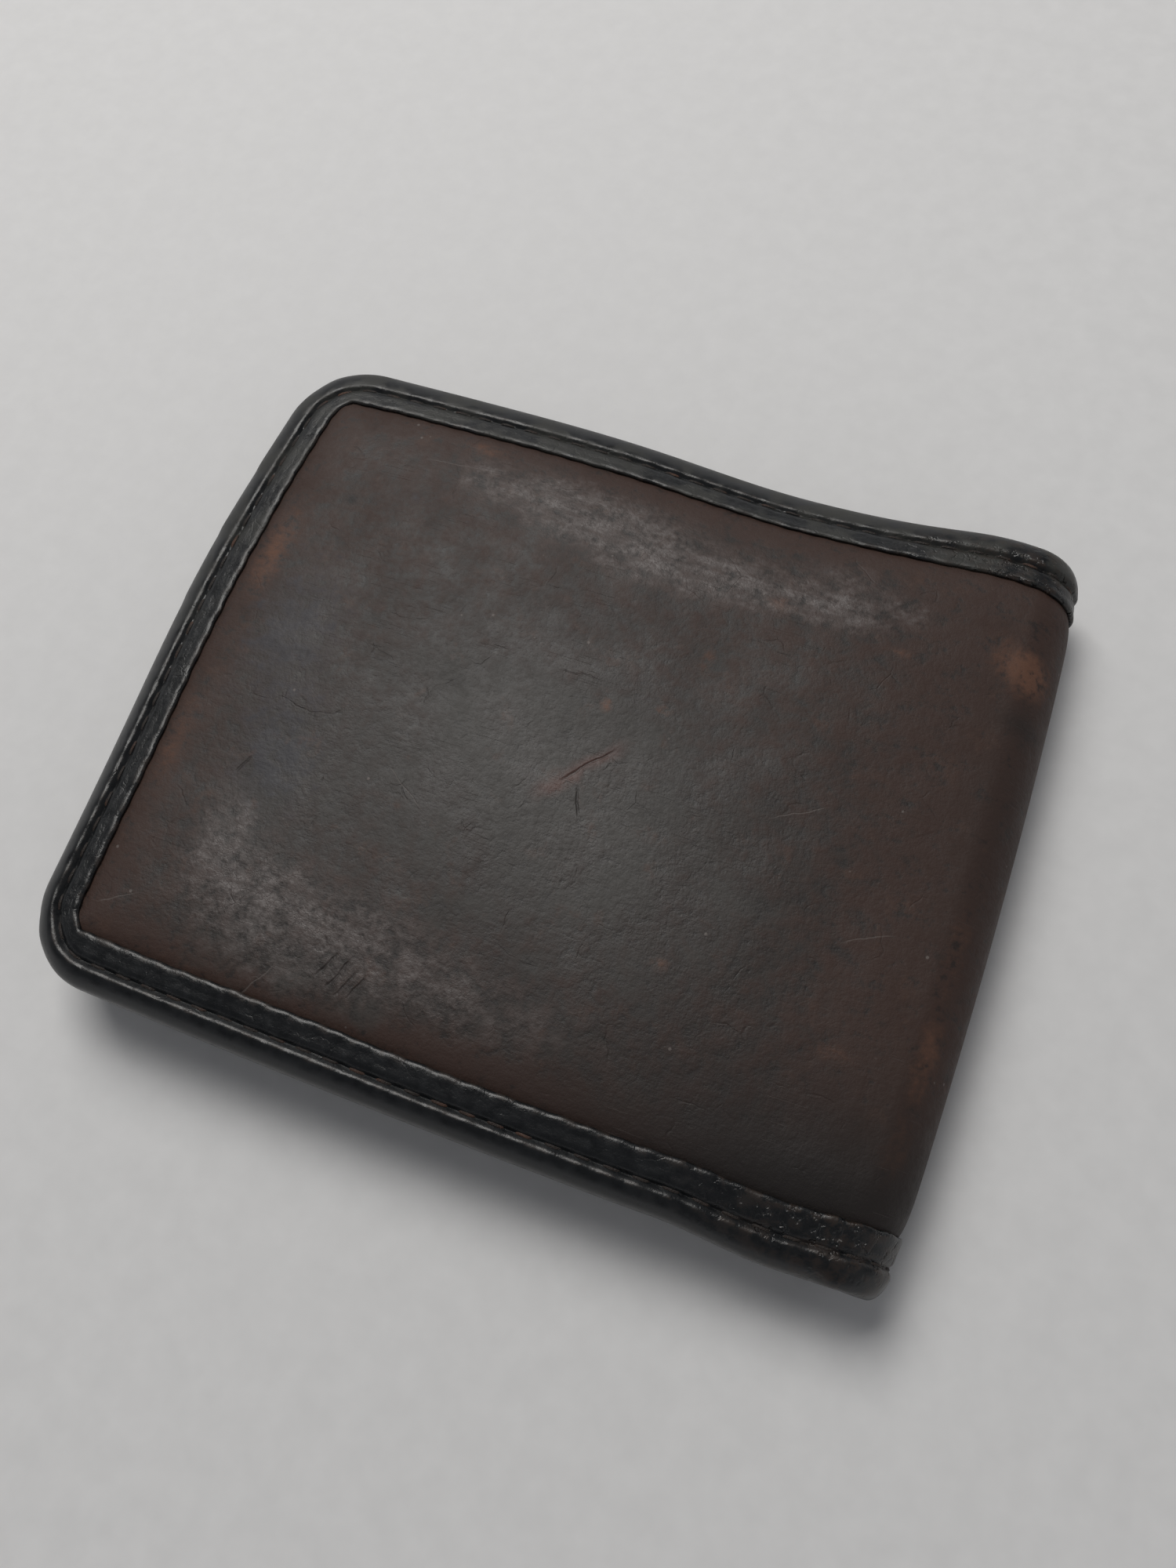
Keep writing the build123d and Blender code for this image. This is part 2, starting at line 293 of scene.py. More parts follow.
def cover_wear_and_painted_light(along, across, back):
    """How worn the cover is at each place, and where light and shade are painted on it, as six
    amounts kept as two marks.

    Each amount but the red one is a sum of bells, exp(-d^2), about the places where it lies. The
    red one grows towards the seams and the fold, and where the cover isn't grey. The first mark is
    how pale, red and grey it is, and the second how orange, dark and blue. The pale is worn wax,
    in part a painted highlight; the grey is rubbed, in part a painted sheen; the blue is a painted
    sheen; the dark is mostly painted shade towards the bottom right, the bottom edge and the fold.
    """
    x, y = bend_x - (along - bend_length), across
    inset = np.minimum(edge_y - np.abs(across), flat_end - along)

    def bells(*places):
        return sum(a * np.exp(-(((x - u) / p) ** 2) - ((y - v) / q) ** 2) for u, v, p, q, a in places)

    hem = 1 - ease(inset, binding_width, binding_width + 6)
    by_fold = ease(x, 30, 50)
    # In the back half, as in the front, the blue is a painted sheen and the dark painted shade.
    if back:
        pale = bells(
            (-28, 24, 9, 6, 0.8), (-8, 31, 14, 5, 0.7), (22, 28, 16, 5, 0.7),
            (-30, -26, 12, 6, 0.9), (4, -31, 16, 4, 0.6), (30, -22, 8, 9, 0.5),
        )
        grey = bells((0, 2, 38, 27, 1.0))
        orange = bells(
            (49, -20, 3, 7, 0.9), (-12, 14, 3, 2, 0.5), (18, -12, 4, 2, 0.5),
            (-36, -8, 3, 4, 0.4),
        )
        blue = bells((-36, 6, 9, 14, 0.8))
        dark = bells((38, 30, 14, 10, 0.5))
    else:
        # Pale worn patches, in part a painted highlight along the top and at the lower left.
        pale = bells(
            (-26, 33, 7, 4.5, 0.6), (-14, 30.5, 10, 6, 0.75), (0, 28.5, 10, 6.5, 0.8),
            (14, 28.5, 9, 5.5, 0.75), (27, 28.5, 7, 4, 1.0), (36, 31, 5, 3, 0.6),
            (-36, -22, 6, 8, 0.75), (-29, -29, 10, 6.5, 0.9), (-14, -29, 11, 6.5, 0.85),
            (2, -32, 11, 6, 0.7), (18, -31, 10, 5.5, 0.45), (4, 1, 7, 5, 0.35),
            (-22, -37, 14, 4, 0.45), (-6, 35, 16, 4, 0.35), (27, 35, 7, 3, 0.55),
            (8, 27, 14, 4, 0.2),
        )
        # Rubbed grey, in part a painted sheen over the middle.
        grey = bells(
            (-8, 0, 26, 20, 0.75), (14, -14, 24, 17, 0.6), (-30, -18, 10, 12, 0.4),
            (-20, -36, 16, 5, 0.6),
        )
        orange = bells(
            (50.5, 27.5, 4.0, 3.2, 1.0), (46, 30, 4, 3, 0.35), (-26, 37, 4.5, 1.6, 0.6),
            (3, 6.5, 1.0, 1.2, 0.8), (10, 8, 1.4, 1.0, 0.7), (19, 27, 2.6, 1.4, 0.55),
            (13, 16.5, 1.6, 3.4, 0.5), (35, 25, 2.6, 0.9, 0.55), (20, -20.5, 1.8, 1.0, 0.6),
            (41, -24, 4.2, 1.5, 0.5), (18, -27, 2.4, 1.6, 0.4), (10, -20, 2, 1.4, 0.35),
            (1, -4, 5, 2.0, 0.45), (14, -7, 5, 1.8, 0.4), (-29, 7, 3.5, 1.4, 0.35),
            (33, -14, 2.2, 4, 0.3), (-46.5, -14, 2.6, 10, 0.5), (-46, 14, 2.4, 9, 0.7),
            (-33, -39, 5, 1.2, 0.35), (28, -37, 8, 1.5, 0.3), (50.5, -8, 2.2, 7, 0.45),
            (51, -22, 2.2, 6, 0.6), (50.5, -33, 2.4, 4, 0.6), (44, 12, 3, 5, 0.35),
        )
        # A painted bluish sheen, mostly at the left.
        blue = bells(
            (-39, 4, 8, 12, 0.9), (-33, -13, 7, 8, 0.9), (-30, 26, 9, 4, 0.45),
            (18, 34, 15, 2.6, 0.4),
        )
        # Painted shade towards the bottom right, along the bottom edge and beside the fold, and a small
        # dark spot at the upper left.
        dark = bells(
            (42, -38, 29, 10, 1.2), (-50, -44, 60, 3, 0.3), (-40, 24, 0.7, 0.7, 1.6),
            (52, 8, 6, 20, 0.35), (51, 21, 3, 1.6, 0.6),
        )
    red = np.clip(0.75 * hem + 0.6 * by_fold + 0.75 * (1 - grey), 0, 1.3)
    # The first mark holds the pale and grey with their painted highlight and sheen, the second the
    # orange marks with the painted shade and bluish sheen.
    wear, rubs_shade_and_sheen = np.stack([pale, red, grey], -1), np.stack([orange, dark, blue], -1)
    return {"wear": wear, "rubs_shade_and_sheen": rubs_shade_and_sheen}


def add(tree, kind, inputs, **settings):
    """A new shader node's outputs. Each input is a number, a colour or another node's output."""
    made = tree.nodes.new("ShaderNode" + kind)
    for setting, value in settings.items():
        setattr(made, setting, value)
    for socket, value in inputs.items():
        if isinstance(value, bpy.types.NodeSocket):
            tree.links.new(value, made.inputs[socket])
        else:
            made.inputs[socket].default_value = value
    return made.outputs


def reckon(tree, operation, a, b=0.0):
    """A number worked out from one or two others."""
    return add(tree, "Math", {0: a, 1: b}, operation=operation)[0]


def plus(tree, a, b):
    return reckon(tree, "ADD", a, b)


def minus(tree, a, b):
    return reckon(tree, "SUBTRACT", a, b)


def times(tree, a, b):
    return reckon(tree, "MULTIPLY", a, b)


def larger(tree, a, b):
    return reckon(tree, "MAXIMUM", a, b)


def all_but(tree, share):
    """One less the share."""
    return minus(tree, 1.0, share)


def mark_on(tree, mark):
    """The three amounts kept on the mesh under that name."""
    return add(tree, "SeparateXYZ", {0: add(tree, "Attribute", {}, attribute_name=mark)["Vector"]})


def noise(tree, where, size, detail=3.0, seed=0.0, rough=0.55):
    """Smooth noise from 0 to 1, its lumps about size millimetres across."""
    where = add(tree, "VectorMath", {0: where, 1: (seed, 2 * seed, 0)}, operation="ADD")[0]
    inputs = {"Vector": where, "Scale": 1 / size, "Detail": detail, "Roughness": rough}
    inputs = {"Value": add(tree, "TexNoise", inputs)[0], "From Min": 0.3, "From Max": 0.7}
    return add(tree, "MapRange", inputs)[0]


def rising(tree, value, low, high):
    """0 below low and 1 above high, eased between them."""
    inputs = {"Value": value, "From Min": low, "From Max": high}
    return add(tree, "MapRange", inputs, interpolation_type="SMOOTHSTEP")[0]


def tint(tree, share, under, over):
    """The colour under, covered by the colour over as far as share says."""
    colours = [c if isinstance(c, bpy.types.NodeSocket) else (*c, 1) for c in (under, over)]
    return add(tree, "Mix", {0: share, 6: colours[0], 7: colours[1]}, data_type="RGBA")[2]


def cells(tree, where, size, warp, seed):
    """The distance to the nearest border of an uneven cell pattern, in cell widths."""
    drift = add(tree, "TexNoise", {"Vector": where, "Scale": 1.3 / size, "Detail": 3.0})[1]
    bent = add(tree, "VectorMath", {0: drift, 1: (warp,) * 3, 2: where}, operation="MULTIPLY_ADD")[0]
    bent = add(tree, "VectorMath", {0: bent, 1: (seed, -seed, 0)}, operation="ADD")[0]
    return add(tree, "TexVoronoi", {"Vector": bent, "Scale": 1 / size}, feature="DISTANCE_TO_EDGE")[0]


def brushed(tree, where, angle, length, width, seed):
    """Noise drawn out along a direction, for scratches and fibres."""
    inputs = {0: where, 2: (0, 0, np.radians(angle)), 3: (1 / length, 1 / width, 1)}
    return noise(tree, add(tree, "Mapping", inputs)[0], 1.0, 2.0, seed)


def stroke(tree, where, start, end, width):
    """1 along a line from start to end on the cover, fading over its width and at its ends."""
    (x1, y1), (x2, y2) = start, end
    first = float(bend_length + bend_x - x1), float(y1), 0
    run_x, run_y = bend_length + bend_x - x2 - first[0], y2 - y1
    length = float(np.hypot(run_x, run_y))
    along_line = (float(run_x / length), float(run_y / length), 0)
    across_line = (-along_line[1], along_line[0], 0)
    offset = add(tree, "VectorMath", {0: where, 1: first}, operation="SUBTRACT")[0]
    travelled = add(tree, "VectorMath", {0: offset, 1: along_line}, operation="DOT_PRODUCT")[1]
    aside = add(tree, "VectorMath", {0: offset, 1: across_line}, operation="DOT_PRODUCT")[1]
    waver = times(tree, minus(tree, noise(tree, where, 3.0, 2.0), 0.5), 0.22 + width * 0.5)
    aside = plus(tree, aside, waver)
    line = all_but(tree, rising(tree, reckon(tree, "ABSOLUTE", aside), 0.0, width))
    fade_in = rising(tree, travelled, 0.0, length * 0.25)
    fade_out = all_but(tree, rising(tree, travelled, length * 0.7, length))
    return times(tree, line, times(tree, fade_in, fade_out))


def finish(name, tree_of):
    """A material whose node tree is drawn by tree_of, which gives colour, roughness and height.

    Height is in millimetres.
    """
    made = bpy.data.materials.new(name)
    made.use_nodes = True
    tree = made.node_tree
    shader = tree.nodes["Principled BSDF"]
    colour, roughness, height = tree_of(tree)
    tree.links.new(colour, shader.inputs["Base Color"])
    tree.links.new(roughness, shader.inputs["Roughness"])
    raised = add(tree, "Bump", {"Height": height, "Distance": MM, "Strength": 1.0})[0]
    tree.links.new(raised, shader.inputs["Normal"])
    return made


def cover_leather(tree):
    """Brown waxed leather: grey where rubbed, pale and crackled where worn through its wax.

    The grey is in part a painted sheen and the pale in part a painted highlight. A painted bluish
    sheen lies at the left, and painted shade darkens it towards the bottom right and in its creases,
    cracks and grooves.
    """
    plan = add(tree, "Attribute", {}, attribute_name="plan")["Vector"]
    # pale and grey carry a painted highlight and sheen, dark mostly painted shade, blue a painted
    # sheen.
    pale, red, grey = mark_on(tree, "wear")
    orange, dark, blue = mark_on(tree, "rubs_shade_and_sheen")
    cloud = noise(tree, plan, 7, 4.0, 3.0)
    mottle = noise(tree, plan, 2.4, 5.0, 11.0, 0.62)
    flecks = noise(tree, plan, 0.8, 3.0, 5.0)
    grain = noise(tree, plan, 0.32, 2.0, 8.0)
    crackle = all_but(tree, rising(tree, cells(tree, plan, 1.2, 1.7, 4.0), 0.0, 0.09))
    crease = all_but(tree, rising(tree, cells(tree, plan, 8, 5.0, 21.0), 0.0, 0.022))
    crease = times(tree, crease, rising(tree, noise(tree, plan, 5, 2.0, 31.0), 0.6, 0.9))
    fibres = times(tree, brushed(tree, plan, 35, 5, 0.35, 2.0), brushed(tree, plan, -20, 4, 0.4, 6.0))
    scratch = rising(tree, brushed(tree, plan, 62, 9, 0.16, 17.0), 0.88, 0.98)
    scratch = times(tree, scratch, rising(tree, noise(tree, plan, 8, 1.0, 44.0), 0.5, 0.75))
    scar = stroke(tree, plan, (-2, -8), (8, 3.5), 1.5)
    groove = stroke(tree, plan, (0.5, -5.0), (7.0, 2.4), 0.3)
    nicks = ((-17.5, -35, 4), (-16, -36, 5), (-14.6, -36.5, 4.5), (-13, -36, 3.5))
    for x, y, length in (*nicks, (-38, -16, 3), (5, -8, -4)):
        nick = stroke(tree, plan, (x, y), (x + length * 0.45, y + abs(length)), 0.28)
        groove = larger(tree, groove, nick)
    hair = stroke(tree, plan, (-27, -43), (-22, -34), 0.16)
    hairs = ((-34, 33, -22, 34), (-20, -9, -13, -13), (26, -1, 33, 3), (38, -12, 44, -9))
    for x1, y1, x2, y2 in (*hairs, (-47, -36, -42, -33)):
        hair = larger(tree, hair, stroke(tree, plan, (x1, y1), (x2, y2), 0.14))

    def patches(amount, lumps, low, high):
        uneven_amount = plus(tree, amount, times(tree, minus(tree, lumps, 0.5), 0.9))
        return rising(tree, uneven_amount, low, high)

    colour = tint(tree, flecks, (0.013, 0.0080, 0.0062), (0.024, 0.0155, 0.0122))
    reddened = times(tree, patches(red, mottle, 0.2, 1.1), 0.9)
    colour = tint(tree, reddened, colour, (0.042, 0.0190, 0.0125))
    # Rubbed grey over the middle, in part a painted sheen.
    grey_wear_and_sheen = tint(tree, mottle, (0.028, 0.0245, 0.0215), (0.046, 0.0415, 0.037))
    colour = tint(tree, patches(grey, cloud, 0.35, 1.1), colour, grey_wear_and_sheen)
    # A painted bluish sheen.
    painted_blue_sheen = times(tree, patches(blue, mottle, 0.4, 1.1), 0.8)
    colour = tint(tree, painted_blue_sheen, colour, (0.034, 0.0345, 0.042))
    rough_mottle = plus(tree, times(tree, mottle, 0.6), times(tree, flecks, 0.4))
    # Pale worn patches, brightened in part as a painted highlight.
    patch = rising(tree, times(tree, pale, plus(tree, rough_mottle, 0.1)), 0.24, 0.95)
    streaks = rising(tree, brushed(tree, plan, 68, 4.5, 1.3, 9.0), 0.05, 0.9)
    patch = times(tree, patch, plus(tree, 0.35, times(tree, streaks, 0.65)))
    colour = tint(tree, patch, colour, (0.122, 0.104, 0.099))
    stain = rising(tree, noise(tree, plan, 3.4, 6.0, 77.0, 0.7), 0.60, 0.95)
    colour = tint(tree, times(tree, stain, 0.5), colour, (0.013, 0.0085, 0.0065))
    rust = rising(tree, noise(tree, plan, 4.6, 6.0, 91.0, 0.68), 0.66, 1.0)
    colour = tint(tree, times(tree, rust, 0.5), colour, (0.066, 0.031, 0.019))
    tan = rising(tree, times(tree, orange, plus(tree, rough_mottle, 0.2)), 0.16, 0.75)
    colour = tint(tree, tan, colour, (0.125, 0.055, 0.031))
    colour = tint(tree, times(tree, scar, 0.75), colour, (0.088, 0.036, 0.027))
    # Darkening: the mottled spots are the leather's own; towards the bottom right and the fold, and in
    # creases, cracks and grooves, it is painted shade.
    shade = times(tree, rising(tree, rough_mottle, 0.44, 0.14), 0.72)
    shade = larger(tree, shade, times(tree, dark, 0.85))
    shade = larger(tree, shade, times(tree, crease, 0.2))
    shade = larger(tree, shade, times(tree, crackle, times(tree, patch, 0.16)))
    shade = larger(tree, shade, times(tree, groove, 0.5))
    colour = tint(tree, shade, colour, (0.008, 0.005, 0.004))
    speck = add(tree, "TexVoronoi", {"Vector": plan, "Scale": 1 / 5})[0]
    speck = all_but(tree, rising(tree, speck, 0.025, 0.05))
    light = larger(tree, times(tree, scratch, 0.2), times(tree, hair, 0.45))
    light = larger(tree, light, times(tree, speck, 0.8))
    colour = tint(tree, light, colour, (0.13, 0.11, 0.10))

    roughness = plus(tree, 0.36, times(tree, rough_mottle, 0.18))
    roughness = plus(tree, roughness, times(tree, red, 0.14))
    roughness = plus(tree, roughness, times(tree, cloud, 0.10))
    roughness = minus(tree, roughness, times(tree, patch, 0.20))
    height = times(tree, grain, 0.010)
    height = plus(tree, height, times(tree, flecks, 0.024))
    height = plus(tree, height, times(tree, mottle, 0.046))
    height = plus(tree, height, times(tree, fibres, 0.008))
    cracks = times(tree, crackle, plus(tree, 0.004, times(tree, patch, 0.018)))
    cuts = plus(tree, cracks, times(tree, crease, 0.028))
    cuts = plus(tree, cuts, times(tree, groove, 0.07))
    cuts = plus(tree, cuts, times(tree, larger(tree, hair, scratch), 0.02))
    return colour, roughness, minus(tree, height, cuts)


cover_material = finish("cover_leather", cover_leather)


def cross_fold(piece, material, nodes):
    """Bakes a piece's place into its mesh, and dresses it in place of its nodes.
    """
    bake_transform(piece)
    dress(piece, material, nodes)


def dress(piece, material, nodes):
    """Gives a piece its material, and hides the nodes it stands for."""
    piece.data.materials.append(material)
    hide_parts(*nodes)


def wrap_round(layer, node, slot_name, material, rows, middle_rows, columns, *faces, worn=None):
    """A layer that passes round the fold: its front, back and fold pieces, each dressed."""
    pieces = {}
    for part in ("front", "back", "fold"):
        part_rows = middle_rows if part == "fold" else rows
        piece = leaf(f"{part}_{layer}", part_rows, columns, *faces, back=part == "back", worn=worn)
        nodes = [f"{node}_fold_1", f"{node}_fold_2"] if part == "fold" else [f"{node}_{part}"]
        cross_fold(piece, material, nodes)
        pieces[part] = piece
    return pieces


cover_grid = (cover_rows, fold_rows, cover_columns, cover_inset, cover_relief, cover_under)
wrap_round("cover", "cover", "cover_leather", cover_material, *cover_grid, worn=cover_wear_and_painted_light)

# ---- Edge binding ----
# A strip of smooth black leather folded over the cut edges of every layer. Its outer edge is a
# full round roll, its seam is pulled down in a valley, and its cut edge stands up, crimped at
# each stitch. At the two open corners the strip is folded over itself into a mitre.

binding_thickness = 0.85
valley_inset = 3.5
roll_inset = 2.6
under_roll = 1.5
crest_tilt = 24  # degrees: where the roll's ellipse starts
lining_thickness = 0.3
wall_step = 1.2  # the inner wall and the note pocket's gap
pocket_step = 0.75  # a card pocket and the gap for a card
step_reach = 2
stitch_pitch = strip_length / 2
side_start = edge_y - corner
mitre_turn = np.radians(60)
valley_arc = (corner - valley_inset) * np.pi / 2


def seam_length(start):
    """How far the seam runs along the valley, from start on the bottom edge to start on the top."""
    return 2 * (flat_end - corner - start) + 2 * valley_arc + 2 * side_start


def rim(travel, inset, start):
    """A place on the flat front half, by how far the seam has travelled and its inset.

    The seam runs along the bottom, round a corner, up the open edge, round a corner and back
    along the top. The place is a point of the rectangle that joins the corners' middles, plus
    the outward direction times the corner radius less the inset. Near the cut edge in a
    corner, that distance runs to the mitre's two lines instead.
    """
    straight = flat_end - corner - start
    first = np.clip(travel, 0, straight)
    turn_1 = np.clip(travel - straight, 0, valley_arc)
    side = np.clip(travel - straight - valley_arc, 0, 2 * side_start)
    turn_2 = np.clip(travel - straight - valley_arc - 2 * side_start, 0, valley_arc)
    last = np.maximum(travel - straight - 2 * valley_arc - 2 * side_start, 0)
    heading = (turn_1 + turn_2) / valley_arc * np.pi / 2
    turned = np.abs(heading - np.pi / 2)
    cut = corner - binding_width
    mitre = cut / np.sin(mitre_turn)
    curve = cut + (mitre - cut) * (turned / mitre_turn) ** 2
    cut_line = np.where(turned < mitre_turn, curve, cut / np.sin(np.maximum(turned, 0.1)))
    round_part = 3.6
    share = np.maximum(inset - round_part, 0) / (binding_width - round_part)
    reach = corner - np.minimum(inset, round_part) - share * (corner - round_part - cut_line)
    along = start + first - last + np.sin(heading) * reach
    across = side - side_start - np.cos(heading) * reach
    return along, across


def binding_inside(travel, start):
    """The depth of the binding's inner face: it follows the layers that the strip wraps.

    From the lining alone at the top it steps down the inner wall and the three card pockets,
    an eased step at each mouth, and up again from the pockets to the wall at the bend.
    """
    along, across = rim(travel, valley_inset, start)
    wall_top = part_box("inner_wall_back")[1].y / MM
    depth = cover_depth + lining_thickness + binding_thickness
    depth = depth + wall_step * (1 - ease(across, wall_top, wall_top + step_reach))
    for pocket in ("high", "middle", "low"):
        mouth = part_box(f"card_pocket_{pocket}_back")[1].y / MM
        over_pocket = ease(along, bend_length - 0.6, bend_length + 2)
        depth = depth + pocket_step * (1 - ease(across, mouth, mouth + step_reach)) * over_pocket
    return depth


def binding_section(travel, start, seed):
    """The strip's outer face and inside, across the strip, at each place along the seam.

    The outer face is a lip, a flange, a valley and part of an ellipse round the edge, from the
    crest's tilt to upright, then the same again in reverse on the other side. Between stitches
    the flange is puffed, and at each stitch the valley is deeper and the lip is pulled back:
    one plus the cosine of the seam's phase. A little unevenness is added.
    """
    lip = [6.3, 6.37, 6.32, 6.16, 5.9, 5.6, 5.3, 5.0, 4.6, 4.2, 3.92, 3.72, 3.5, 3.32, 3.15, 2.98, 2.8]
    fall = [0.85, 0.48, 0.18, 0.05, 0, 0.03, 0.1, 0.15, 0.16]
    fall += [0.2, 0.32, 0.48, 0.55, 0.42, 0.2, 0.07, 0.01]
    arc = np.radians(np.linspace(crest_tilt, 90, 10))
    outward = (np.sin(arc) - np.sin(arc[0])) / (1 - np.sin(arc[0]))
    downward = 1 - np.cos(arc) / np.cos(arc[0])
    inset = np.concatenate([lip, roll_inset * (1 - outward)])
    under_flat = np.linspace(binding_width, roll_inset, len(lip))
    under_inset = np.concatenate([under_flat, binding_thickness + under_roll * (1 - outward)])
    inside = binding_inside(travel, start)[:, None]
    half = inside / 2
    fall = np.broadcast_to(fall, (len(travel), len(lip)))
    depth = np.hstack([fall, half * downward])
    flat_under = np.full_like(fall, binding_thickness)
    rolled_under = binding_thickness + (half - binding_thickness) * downward
    under_depth = np.hstack([flat_under, rolled_under])
    beat = 0.5 + 0.5 * np.cos(2 * np.pi * travel / stitch_pitch)[:, None]
    valley = np.exp(-(((inset - valley_inset) / 0.40) ** 2))
    flange = np.exp(-(((inset - 4.9) / 0.8) ** 2))
    lips = ease(inset, 5.4, 6.2)
    wander = uneven(travel, 0 * travel, 9, seed)[:, None]
    wander = wander + 0.4 * uneven(travel, 0 * travel, 2.9, seed + 1)[:, None]
    ripple = uneven(travel[:, None], inset * 3, 1.7, seed + 2)
    faces = []
    for side in (0, 1):
        sway = wander * (1 if side == 0 else -1)
        pressed = 0.14 * beat * valley - 0.03 * (1 - beat) * flange + (0.08 * beat - 0.035) * lips
        pressed = pressed + 0.11 * beat * np.exp(-(((inset - 2.8) / 0.4) ** 2))
        pressed = pressed + 0.05 * sway * flange + 0.02 * ripple * ease(inset, 1.2, 2.4)
        top_inset = inset - 0.10 * (beat - 0.5) * lips + 0.10 * sway * ease(inset, 2.2, 4.0)
        top_depth = depth + pressed * (depth < binding_thickness - 0.01)
        top_depth[:, 0] = binding_thickness
        low_inset = np.broadcast_to(under_inset, depth.shape).copy()
        low_inset[:, 0] = top_inset[:, 0]
        faces.append((top_inset, top_depth, low_inset, under_depth))
    outer, inner = faces
    flip = slice(None, None, -1)
    joined = [np.hstack([o[:, :-1], i[:, flip]]) for o, i in zip(outer, inner)]
    for k in (1, 3):
        other = inside - inner[k][:, flip]
        joined[k] = np.hstack([outer[k][:, :-1], other])
    return joined


def bind(name, travel, start, seed, back=False):
    """The strip along a stretch of the seam, square at its two ends."""
    top_inset, top_depth, low_inset, low_depth = binding_section(travel, start, seed)
    grids, seams = [], []
    for inset, depth in ((top_inset, top_depth), (low_inset, low_depth)):
        along, across = rim(travel[:, None], inset, start)
        if back:
            along = bend_length - along
        grids.append(place(along, across, depth))
        seams.append(np.stack([along, across, inset], -1))
    middle, middle_seam = (grids[0] + grids[1]) / 2, (seams[0] + seams[1]) / 2
    closed = [np.concatenate([middle[:1], g, middle[-1:]]) for g in grids]
    seams = [np.concatenate([middle_seam[:1], m, middle_seam[-1:]]) for m in seams]
    flip = slice(None, None, -1)
    return mesh_of(name, [closed[0], closed[1][:, flip]], {"plan": [seams[0], seams[1][:, flip]]})


half_start = 2 * strip_length
half_length = seam_length(half_start)
half_stitches = int(round(half_length / stitch_pitch))
half_travel = np.linspace(0, half_length, half_stitches * 9 + 1)
front_binding = bind("front_binding", half_travel, half_start, 31)
back_binding = bind("back_binding", half_travel, half_start, 41, back=True)
fold_travel = np.linspace(0, strip_length, 2 * 24 + 1)
bottom_fold_binding = bind("bottom_fold_binding", fold_travel, strip_length, 51)
fold_length = seam_length(strip_length)
top_fold_binding = bind("top_fold_binding", fold_length - fold_travel, strip_length, 61)


def binding_leather(tree):
    """Black polished leather, creased across the fold, rubbed brown on its edge and lip."""
    plan = add(tree, "Attribute", {}, attribute_name="plan")["Vector"]
    along, across, inset = mark_on(tree, "plan")
    cloud = noise(tree, plan, 6, 4.0, 2.0)
    mottle = noise(tree, plan, 1.6, 5.0, 9.0, 0.62)
    grain = noise(tree, plan, 0.35, 3.0, 4.0)
    colour = tint(tree, mottle, (0.0034, 0.0040, 0.0048), (0.0105, 0.0118, 0.0132))
    crest = all_but(tree, rising(tree, reckon(tree, "ABSOLUTE", minus(tree, inset, 2.85)), 0.0, 0.35))
    lip = rising(tree, inset, binding_width - 0.9, binding_width - 0.1)
    edges = larger(tree, crest, lip)
    rubbed = times(tree, edges, rising(tree, mottle, 0.42, 0.75))
    colour = tint(tree, times(tree, rubbed, 0.55), colour, (0.042, 0.031, 0.025))
    olive = times(tree, rising(tree, across, -20.0, 35.0), rising(tree, cloud, 0.35, 0.75))
    colour = tint(tree, times(tree, olive, 0.8), colour, (0.027, 0.027, 0.023))
    to_fold = all_but(tree, rising(tree, along, bend_length, bend_length + 24))
    warm = times(tree, to_fold, rising(tree, mottle, 0.35, 0.8))
    colour = tint(tree, times(tree, warm, 0.5), colour, (0.030, 0.018, 0.012))
    folds = rising(tree, brushed(tree, plan, 0, 1.1, 7.0, 13.0), 0.62, 0.9)
    folds = times(tree, folds, to_fold)
    pits = all_but(tree, rising(tree, cells(tree, plan, 2.6, 2.0, 7.0), 0.0, 0.07))
    pits = times(tree, pits, rising(tree, cloud, 0.4, 0.8))
    roughness = plus(tree, 0.26, times(tree, mottle, 0.14))
    roughness = plus(tree, roughness, times(tree, olive, 0.16))
    face = plus(tree, 0.15, times(tree, rising(tree, inset, 2.2, 3.0), 0.85))
    height = plus(tree, times(tree, grain, 0.009), times(tree, mottle, 0.045))
    cuts = plus(tree, times(tree, folds, 0.14), times(tree, pits, 0.022))
    return colour, roughness, times(tree, face, minus(tree, height, cuts))


binding_material = finish("binding_leather", binding_leather)
cross_fold(front_binding, binding_material, ["binding_front"])
cross_fold(back_binding, binding_material, ["binding_back"])
for edge, piece in (("bottom", bottom_fold_binding), ("top", top_fold_binding)):
    nodes = [f"binding_{edge}_fold_1", f"binding_{edge}_fold_2"]
    cross_fold(piece, binding_material, nodes)

# ---- Seam thread ----
# One waxed twisted thread, sewn through the binding and every layer. A stitch lies along the
# valley of the outer face and of the inner one, and its two ends go down into the holes. It
# was red-brown, and has gone dark with handling.

thread_width = 0.2
stitch_share = 0.36


def bead():
    """A stitch's grid: places along it from -1 to 1, turns round it, and its radius at each.

    The radius is a half circle's height at its place along the stitch, and wavers as a cosine
    that winds round it, like a twisted thread.
    """
    s = np.sin(np.radians(np.linspace(-90, 90, 8)))
    turn = np.linspace(0, 2 * np.pi, 6, endpoint=False)
    s, turn = np.meshgrid(s, turn, indexing="ij")
    twist = 1 + 0.13 * np.cos(2 * turn - 5 * s)
    return s, turn, thread_width * np.sqrt(np.maximum(1 - s**2, 0)) * twist


